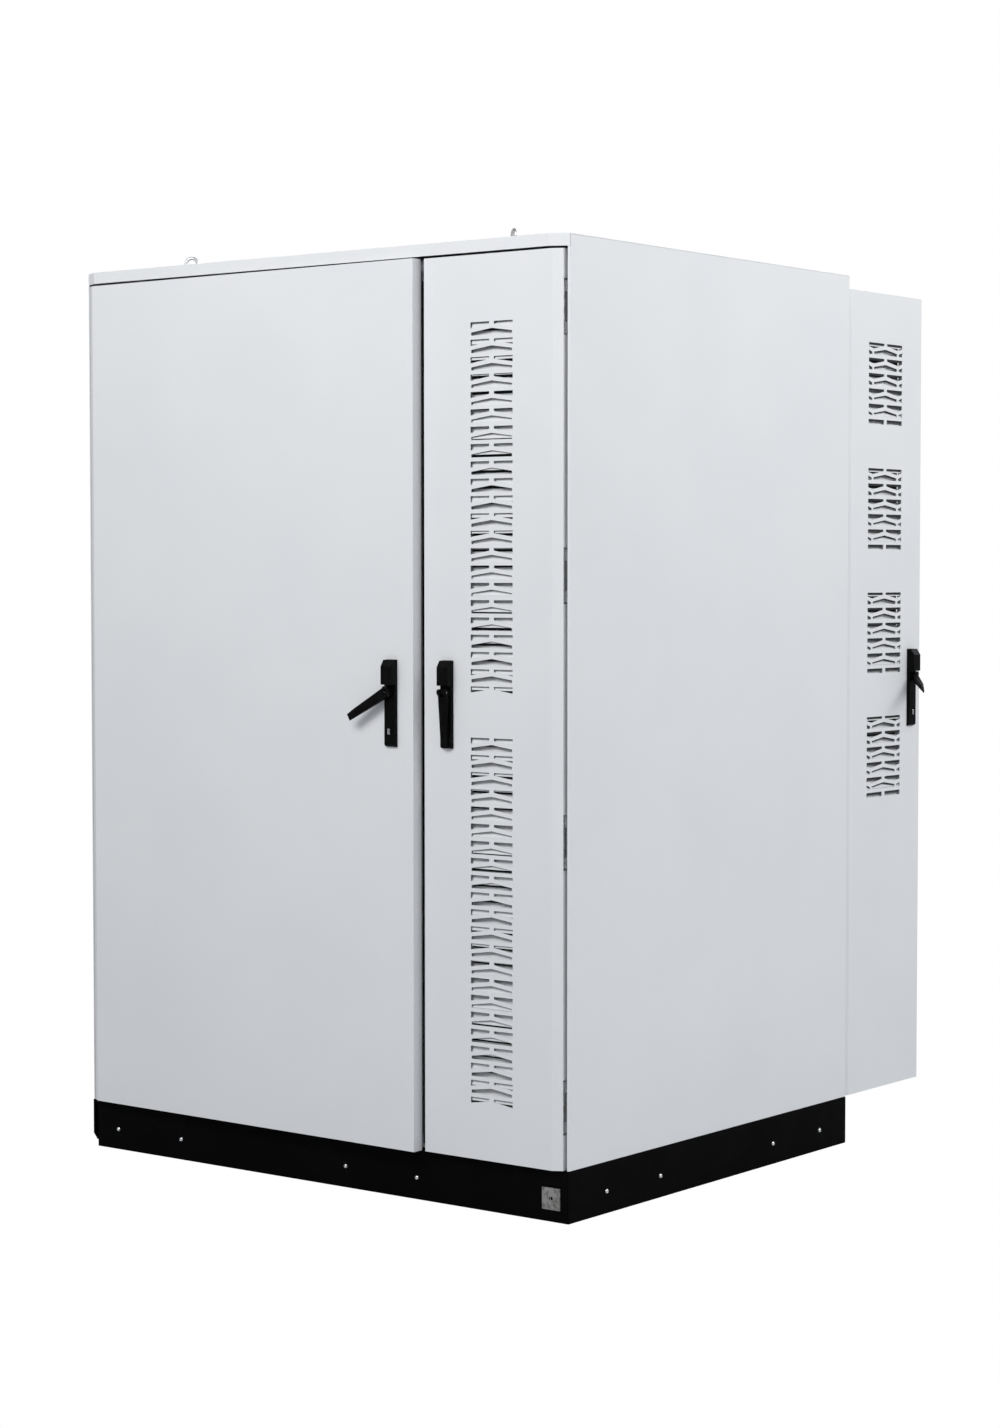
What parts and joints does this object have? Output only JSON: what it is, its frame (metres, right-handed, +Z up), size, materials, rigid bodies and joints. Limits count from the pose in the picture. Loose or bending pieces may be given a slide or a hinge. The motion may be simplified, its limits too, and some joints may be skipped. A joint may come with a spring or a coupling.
{
  "type": "battery energy storage cabinet",
  "caption": "Outdoor battery cabinet on a black plinth: wide battery-bay door, narrow vented power-bay doors front and rear, lift-and-turn swing handles, racked packs inside.",
  "frame": {"origin": "on the floor, at the centre of the plinth footprint", "axes": "+Z up, front doors face -Y, power bay towards +X"},
  "size_m": [1.5955, 1.6223, 2.238],
  "materials": {
    "body_paint": "light grey textured powder coat",
    "plinth_paint": "black powder coat",
    "zinc_steel": "zinc plated",
    "bare_steel": "bare brushed metal",
    "seal_rubber": "matt",
    "handle_plastic": "satin black",
    "fan_plastic": "matt black",
    "pack_case": "dark grey coated case",
    "unit_case": "grey coated case",
    "knob_plastic": "gloss red"
  },
  "bodies": {
    "cabinet": {"base_frame": "plinth_paint", "plinth_cover_front": "plinth_paint", "plinth_cover_rear": "plinth_paint", "plinth_cover_left": "plinth_paint", "plinth_cover_right": "plinth_paint", "earthing_plate": "bare_steel", "floor_panel": "zinc_steel", "side_panel_left": "body_paint", "side_panel_right": "body_paint", "rear_panel": "body_paint", "roof_cover": "body_paint", "front_frame": "body_paint", "rear_frame": "body_paint", "bay_partition": "zinc_steel", "battery_hinge_rod": "zinc_steel", "power_hinge_rod": "zinc_steel", "rear_hinge_rod": "zinc_steel", "lifting_eye_front_left": "zinc_steel", "lifting_eye_front_right": "zinc_steel", "lifting_eye_rear_left": "zinc_steel", "lifting_eye_rear_right": "zinc_steel", "battery_rack": "zinc_steel", "battery_pack_1": "pack_case", "battery_pack_2": "pack_case", "battery_pack_3": "pack_case", "battery_pack_4": "pack_case", "battery_pack_5": "pack_case", "switch_box": "unit_case", "power_converter": "unit_case", "cooling_unit": "unit_case"},
    "battery_door": {"battery_door_panel": "body_paint", "battery_door_seal": "seal_rubber", "battery_door_hinge_leaf": "zinc_steel", "battery_handle_base": "handle_plastic"},
    "battery_handle_hub": {"battery_handle_hub": "handle_plastic"},
    "battery_handle_lever": {"battery_handle_lever": "handle_plastic"},
    "battery_lock_rod_upper": {"battery_lock_rod_upper": "zinc_steel"},
    "battery_lock_rod_lower": {"battery_lock_rod_lower": "zinc_steel"},
    "power_door": {"power_door_panel": "body_paint", "power_door_seal": "seal_rubber", "power_door_hinge_leaf": "zinc_steel", "power_handle_base": "handle_plastic", "power_door_louvre": "body_paint"},
    "power_handle_hub": {"power_handle_hub": "handle_plastic"},
    "power_handle_lever": {"power_handle_lever": "handle_plastic"},
    "power_lock_rod_upper": {"power_lock_rod_upper": "zinc_steel"},
    "power_lock_rod_lower": {"power_lock_rod_lower": "zinc_steel"},
    "rear_door": {"rear_door_panel": "body_paint", "rear_door_seal": "seal_rubber", "rear_door_hinge_leaf": "zinc_steel", "rear_handle_base": "handle_plastic", "rear_door_louvre": "body_paint"},
    "rear_handle_hub": {"rear_handle_hub": "handle_plastic"},
    "rear_handle_lever": {"rear_handle_lever": "handle_plastic"},
    "rear_lock_rod_upper": {"rear_lock_rod_upper": "zinc_steel"},
    "rear_lock_rod_lower": {"rear_lock_rod_lower": "zinc_steel"},
    "converter_fan": {"converter_fan": "fan_plastic"},
    "cooling_fan": {"cooling_fan": "fan_plastic"},
    "isolator_knob": {"isolator_knob": "knob_plastic"}
  },
  "joints": [
    {"name": "battery_door_swing", "type": "hinge", "parent": "cabinet", "child": "battery_door", "pos_m": [-0.731, -0.594, 1.143], "axis": [0, 0, -1], "range_deg": [-1.34, 108.66]},
    {"name": "battery_handle_turn", "type": "hinge", "parent": "battery_door", "child": "battery_handle_hub", "pos_m": [0.2743, -0.63552, 1.182], "axis": [0.0234, 0.9997, 0], "range_deg": [-60, 30]},
    {"name": "battery_lever_lift", "type": "hinge", "parent": "battery_handle_hub", "child": "battery_handle_lever", "pos_m": [0.27384, -0.65551, 1.182], "axis": [-0.4999, 0.0117, 0.866], "range_deg": [-8, 72]},
    {"name": "battery_rod_upper_slide", "type": "slide", "parent": "battery_door", "child": "battery_lock_rod_upper", "axis": [0, 0, -1], "range_m": [-0.01077, 0.00543]},
    {"name": "battery_rod_lower_slide", "type": "slide", "parent": "battery_door", "child": "battery_lock_rod_lower", "axis": [0, 0, 1], "range_m": [-0.01077, 0.00543]},
    {"name": "power_door_swing", "type": "hinge", "parent": "cabinet", "child": "power_door", "pos_m": [0.731, -0.594, 1.143], "axis": [0, 0, 1], "range_deg": [0, 110]},
    {"name": "power_handle_turn", "type": "hinge", "parent": "power_door", "child": "power_handle_hub", "pos_m": [0.42, -0.612, 1.182], "axis": [0, -1, 0], "range_deg": [0, 90]},
    {"name": "power_lever_lift", "type": "hinge", "parent": "power_handle_hub", "child": "power_handle_lever", "pos_m": [0.42, -0.632, 1.182], "axis": [-1, 0, 0], "range_deg": [0, 80]},
    {"name": "power_rod_upper_slide", "type": "slide", "parent": "power_door", "child": "power_lock_rod_upper", "axis": [0, 0, -1], "range_m": [-0.0001, 0.0161]},
    {"name": "power_rod_lower_slide", "type": "slide", "parent": "power_door", "child": "power_lock_rod_lower", "axis": [0, 0, 1], "range_m": [-0.0001, 0.0161]},
    {"name": "rear_door_swing", "type": "hinge", "parent": "cabinet", "child": "rear_door", "pos_m": [0.731, 0.594, 1.143], "axis": [0, 0, -1], "range_deg": [-90, 20]},
    {"name": "rear_handle_turn", "type": "hinge", "parent": "rear_door", "child": "rear_handle_hub", "pos_m": [0.749, 0.909, 1.182], "axis": [-1, 0, 0], "range_deg": [-73, 17]},
    {"name": "rear_lever_lift", "type": "hinge", "parent": "rear_handle_hub", "child": "rear_handle_lever", "pos_m": [0.769, 0.909, 1.182], "axis": [0, -0.2924, 0.9563], "range_deg": [-41, 39]},
    {"name": "rear_rod_upper_slide", "type": "slide", "parent": "rear_door", "child": "rear_lock_rod_upper", "axis": [0, 0, -1], "range_m": [-0.01308, 0.00312]},
    {"name": "rear_rod_lower_slide", "type": "slide", "parent": "rear_door", "child": "rear_lock_rod_lower", "axis": [0, 0, 1], "range_m": [-0.01308, 0.00312]},
    {"name": "converter_fan_spin", "type": "hinge", "parent": "cabinet", "child": "converter_fan", "pos_m": [0.545, -0.442, 1.84], "axis": [0, 1, 0], "continuous": true},
    {"name": "cooling_fan_spin", "type": "hinge", "parent": "cabinet", "child": "cooling_fan", "pos_m": [0.545, -0.442, 0.82], "axis": [0, 1, 0], "continuous": true},
    {"name": "isolator_turn", "type": "hinge", "parent": "cabinet", "child": "isolator_knob", "pos_m": [-0.25, -0.53, 1.955], "axis": [0, 1, 0], "range_deg": [0, 90]}
  ],
  "couplings": [
    {"joint": "battery_rod_upper_slide", "follows": "battery_handle_turn", "m_per_rad": 0.010186},
    {"joint": "battery_rod_lower_slide", "follows": "battery_handle_turn", "m_per_rad": 0.010186},
    {"joint": "power_rod_upper_slide", "follows": "power_handle_turn", "m_per_rad": 0.010186},
    {"joint": "power_rod_lower_slide", "follows": "power_handle_turn", "m_per_rad": 0.010186},
    {"joint": "rear_rod_upper_slide", "follows": "rear_handle_turn", "m_per_rad": 0.010186},
    {"joint": "rear_rod_lower_slide", "follows": "rear_handle_turn", "m_per_rad": 0.010186}
  ]
}
